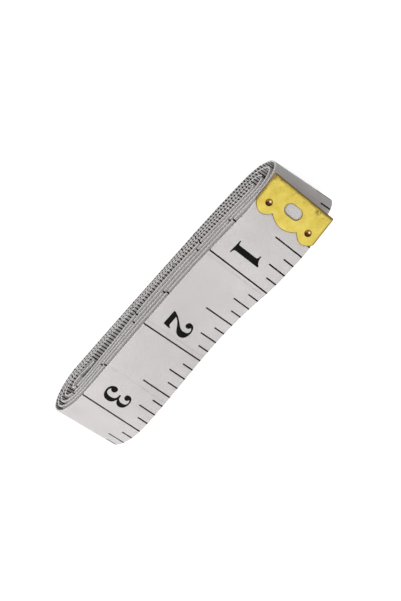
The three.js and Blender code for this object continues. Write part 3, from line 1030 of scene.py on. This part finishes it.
def folded_sheet(name, loops, fold_x, looks):
    """A sheet folded double round the tape's end: the loops are its upper half, flat at z 0.

    The looks are the material of the sheet and, if given, that of the strip along its cut edges.
    """
    piece = drawn(name, loops)
    mesh = piece.data
    for look in looks:
        mesh.materials.append(look)
    only(piece)
    bpy.ops.object.mode_set(mode="EDIT")
    bpy.ops.mesh.select_all(action="SELECT")
    bpy.ops.mesh.remove_doubles(threshold=MERGE)
    bpy.ops.mesh.dissolve_limited(angle_limit=STRAIGHT)
    if len(looks) > 1:
        bpy.ops.mesh.inset(
            thickness=RIM_W, use_boundary=True, use_even_offset=True, use_select_inset=True
        )
        bpy.ops.object.mode_set(mode="OBJECT")
        for face in mesh.polygons:
            at_fold = sum(abs(mesh.vertices[i].co.x - fold_x) < MERGE for i in face.vertices)
            face.material_index = int(face.select and at_fold < 2)
        bpy.ops.object.mode_set(mode="EDIT")
    bpy.ops.mesh.select_all(action="SELECT")
    bpy.ops.transform.translate(value=(0, 0, SHEET_MIDDLE))
    bpy.ops.mesh.duplicate()
    bpy.ops.transform.resize(value=(1, 1, -1), center_override=(0, 0, 0))
    bpy.ops.mesh.select_all(action="DESELECT")
    bpy.ops.object.mode_set(mode="OBJECT")
    for edge in mesh.edges:
        ends = [mesh.vertices[i].co for i in edge.vertices]
        edge.select = all(abs(p.x - fold_x) < MERGE and p.z > 0 for p in ends)
    bpy.ops.object.mode_set(mode="EDIT")
    bpy.ops.mesh.select_mode(type="EDGE")
    bpy.ops.mesh.spin(steps=FOLD_STEPS, angle=-math.pi, center=(fold_x, 0, 0), axis=(0, 1, 0))
    bpy.ops.mesh.select_all(action="SELECT")
    bpy.ops.mesh.remove_doubles(threshold=MERGE)
    bpy.ops.mesh.normals_make_consistent(inside=False)
    bpy.ops.object.mode_set(mode="OBJECT")
    apply_modifier(piece, "SOLIDIFY", thickness=SHEET_T, offset=0)
    apply_modifier(
        piece, "BEVEL", width=EDGE_ROUND, segments=2, limit_method="ANGLE", angle_limit=ROUNDED_FROM
    )
    only(piece)
    bpy.ops.object.mode_set(mode="EDIT")
    bpy.ops.mesh.select_all(action="SELECT")
    bpy.ops.mesh.normals_make_consistent(inside=False)
    bpy.ops.object.mode_set(mode="OBJECT")
    return piece


def tip_plate():
    fold_x = BRASS_FRONT - TIP_HALF
    side_x, cusp_x = TIP_SECTION - TIP_SIDE, TIP_SECTION - TIP_CUSP
    lobe_x = TIP_SECTION - TIP_REACH
    half, cusp_y = BRASS_W / 2, MIDDLE_LOBE_W / 2
    outline = [corner(fold_x, -half), corner(fold_x, half), corner(side_x, half)]
    scalloped(
        outline,
        ((cusp_x, cusp_y), lobe_x),
        ((cusp_x, -cusp_y), lobe_x),
        ((side_x, -half), lobe_x),
    )
    slot = slot_loop(TIP_SECTION - SLOT_FROM_FOLD, 0, SLOT_W / 2, SLOT_L - SLOT_W)
    holes = [round_loop(RIVET_X, y, RIVET_SHANK_R + HOLE_FIT) for y in (-BRASS_RIVET_Y, BRASS_RIVET_Y)]
    piece = folded_sheet("brass_tip", [outline, slot, *holes], fold_x, [yellow_brass(), brass_edge()])
    piece.data.transform(SLANT)
    put_in(piece, BRASS_FRAME)
    smooth_faces(piece)
    return piece


def inner_clip():
    """The strip folded over the tape's inner end; its fold's outside lies TIP_HALF past that end."""
    _, x, z = LINE[-1]
    half = HALF_W + CLIP_OVERHANG
    far_x = TIP_HALF - CLIP_LENGTH
    outline = [corner(0, -half), corner(0, half), corner(far_x, half), corner(far_x, -half)]
    piece = folded_sheet("inner_clip", [outline], 0, [plated_steel()])
    tilt = Matrix.Rotation(-math.atan2(STUB_RISE, STUB), 4, "Y")
    put_in(piece, Matrix.Translation((x, -lean(x, z), z)) @ tilt)
    smooth_faces(piece)
    return piece


# Rivets: a profile spun round
RIVET_STEPS = 28


def rivet(name, y, look):
    seat = TIP_HALF
    top, foot = seat + RIVET_DOME, -seat - RIVET_FOOT
    head, shank = RIVET_HEAD_R, RIVET_SHANK_R
    profile = [
        ((0, top), (0, top), (head * CIRCLE_PULL, top)),
        ((head, seat), (head, seat + RIVET_DOME * CIRCLE_PULL), (head, seat)),
        corner(shank, seat),
        corner(shank, -seat),
        corner(head, -seat),
        corner(head, foot),
        corner(0, foot),
    ]
    piece = drawn(name, [profile], "NONE")
    piece.data.materials.append(look)
    only(piece)
    bpy.ops.object.mode_set(mode="EDIT")
    bpy.ops.mesh.select_all(action="SELECT")
    bpy.ops.mesh.remove_doubles(threshold=MERGE)
    bpy.ops.mesh.dissolve_limited(angle_limit=STRAIGHT)
    bpy.ops.mesh.select_all(action="SELECT")
    bpy.ops.mesh.spin(steps=RIVET_STEPS, angle=2 * math.pi, center=(0, 0, 0), axis=(0, 1, 0))
    bpy.ops.mesh.select_all(action="SELECT")
    bpy.ops.mesh.remove_doubles(threshold=MERGE)
    bpy.ops.mesh.normals_make_consistent(inside=False)
    bpy.ops.object.mode_set(mode="OBJECT")
    upright = Matrix.Rotation(math.pi / 2, 4, "X")
    put_in(piece, BRASS_FRAME @ Matrix.Translation(SLANT @ Vector((RIVET_X, y, 0))) @ upright)
    smooth_faces(piece)
    return piece


# The pieces
TAPE_START = BRASS_SHORT + TIP_HALF + SHEET_FIT
CUTS = (TAPE_START, 26.5, 49.5, 65.5, TAPE_END)
cloth = [coated_cloth(), printing_ink()]

wound = tape_piece("wound_tape", CUTS[3], CUTS[4], cloth)
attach(wound, "roll")
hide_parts("tape_roll")

# (name, cut, bodies, bend start and end as s, CAD node that it stands for)
FREE_PIECES = (
    ("free_tape_root", 2, ("roll", "free_1"), (CUTS[3], 58.5), "free_tape_1"),
    ("free_tape_middle", 1, ("free_1", "free_2"), (48.0, 28.0), "free_tape_2"),
    ("free_tape_end", 0, ("free_2", "tip"), (17.6, PLATE_END_S), "tip_tape"),
)
for name, cut, bodies, bend_s, stands_for in FREE_PIECES:
    piece = tape_piece(name, CUTS[cut], CUTS[cut + 1], cloth)
    start, end = (tuple(surface(s, 0, 0) * MM) for s in bend_s)
    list(bodies)
    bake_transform(piece)
    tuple(start)
    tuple(end)
    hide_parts(stands_for)

brass = tip_plate()
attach(brass, "tip")
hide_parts("tip_plate")

bronze = rivet_bronze()
for side, y in (("tick_side", -BRASS_RIVET_Y), ("plain_side", BRASS_RIVET_Y)):
    piece = rivet("bronze_rivet_" + side, y, bronze)
    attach(piece, "tip")
    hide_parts("tip_rivet_" + side)

clip = inner_clip()
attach(clip, "roll")
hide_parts("inner_end_clip")

# Floor, light and camera
FLOOR_SIDE = 3.0
FLOOR_GLOW = 0.84
AMBIENT = 0.35


def seen(tree):
    """1 for rays from the camera, directly or by way of a mirror or glass, and 0 for others."""
    kinds = ("Is Camera Ray", "Is Glossy Ray", "Is Transmission Ray")
    camera_ray, glossy, through = (node(tree, "LightPath", out=kind) for kind in kinds)
    either = node(tree, "Math", [camera_ray, glossy], operation="MAXIMUM")
    return node(tree, "Math", [either, through], operation="MAXIMUM")


def paper_floor():
    """White paper that the camera sees as white and that still takes the soft shadow."""
    made, tree = material("white_paper_floor")
    glow = node(tree, "Math", [seen(tree), FLOOR_GLOW], operation="MULTIPLY")
    shader = node(
        tree,
        "BsdfPrincipled",
        {
            "Base Color": colour("#ACACAC"),
            "Roughness": 0.9,
            "Emission Color": colour("#FFFFFF"),
            "Emission Strength": glow,
        },
    )
    node(tree, "OutputMaterial", [shader])
    return made


bpy.ops.mesh.primitive_plane_add(size=FLOOR_SIDE)
floor = bpy.context.object
floor.name = "floor"
floor.data.materials.append(paper_floor())

world = bpy.data.worlds.new("studio")
bpy.context.scene.world = world
world.use_nodes = True
sky = world.node_tree
sky.nodes.clear()
strength = node(sky, "MapRange", [seen(sky), 0.0, 1.0, AMBIENT, 1.0])
backdrop = node(sky, "Background", {"Color": colour("#FFFFFF"), "Strength": strength})
node(sky, "OutputWorld", [backdrop])


def area_light(name, at, size, power):
    lamp = bpy.data.lights.new(name, "AREA")
    lamp.size = size
    lamp.energy = power
    made = bpy.data.objects.new(name, lamp)
    made.location = at
    made.rotation_euler = (-Vector(at)).to_track_quat("-Z", "Y").to_euler()
    bpy.context.scene.collection.objects.link(made)


area_light("key", (-0.36, -0.06, 0.58), 0.5, 2.05)
area_light("fill", (-0.12, 0.60, 0.30), 0.6, 3.5)

# The photograph's camera: its right and back directions and its place, in mm.
CAM_RIGHT = Vector((0.649, -0.738, 0.185))
CAM_BACK = Vector((0.266, 0.448, 0.854))
CAM_AWAY = 318.0
CAM_SHIFT = (3.30, -2.95)
CAM_ALONG = 1.8
FOCAL_PX = 1210
IMAGE_LONG_PX = 601
SENSOR = 36.0
CAM_NEAR = 0.01

back = CAM_BACK.normalized()
right = (CAM_RIGHT - CAM_RIGHT.dot(back) * back).normalized()
up = back.cross(right)
lens = bpy.data.cameras.new("camera")
lens.sensor_width = SENSOR
lens.lens = FOCAL_PX / IMAGE_LONG_PX * SENSOR
lens.clip_start = CAM_NEAR
camera = bpy.data.objects.new("camera", lens)
spot = CAM_AWAY * back + CAM_SHIFT[0] * right + CAM_SHIFT[1] * up
spot = (spot + Vector((CAM_ALONG, 0, 0))) * MM
camera.matrix_world = Matrix.Translation(spot) @ Matrix((right, up, back)).transposed().to_4x4()
bpy.context.scene.collection.objects.link(camera)
bpy.context.scene.camera = camera
bpy.context.scene.view_settings.view_transform = "Standard"
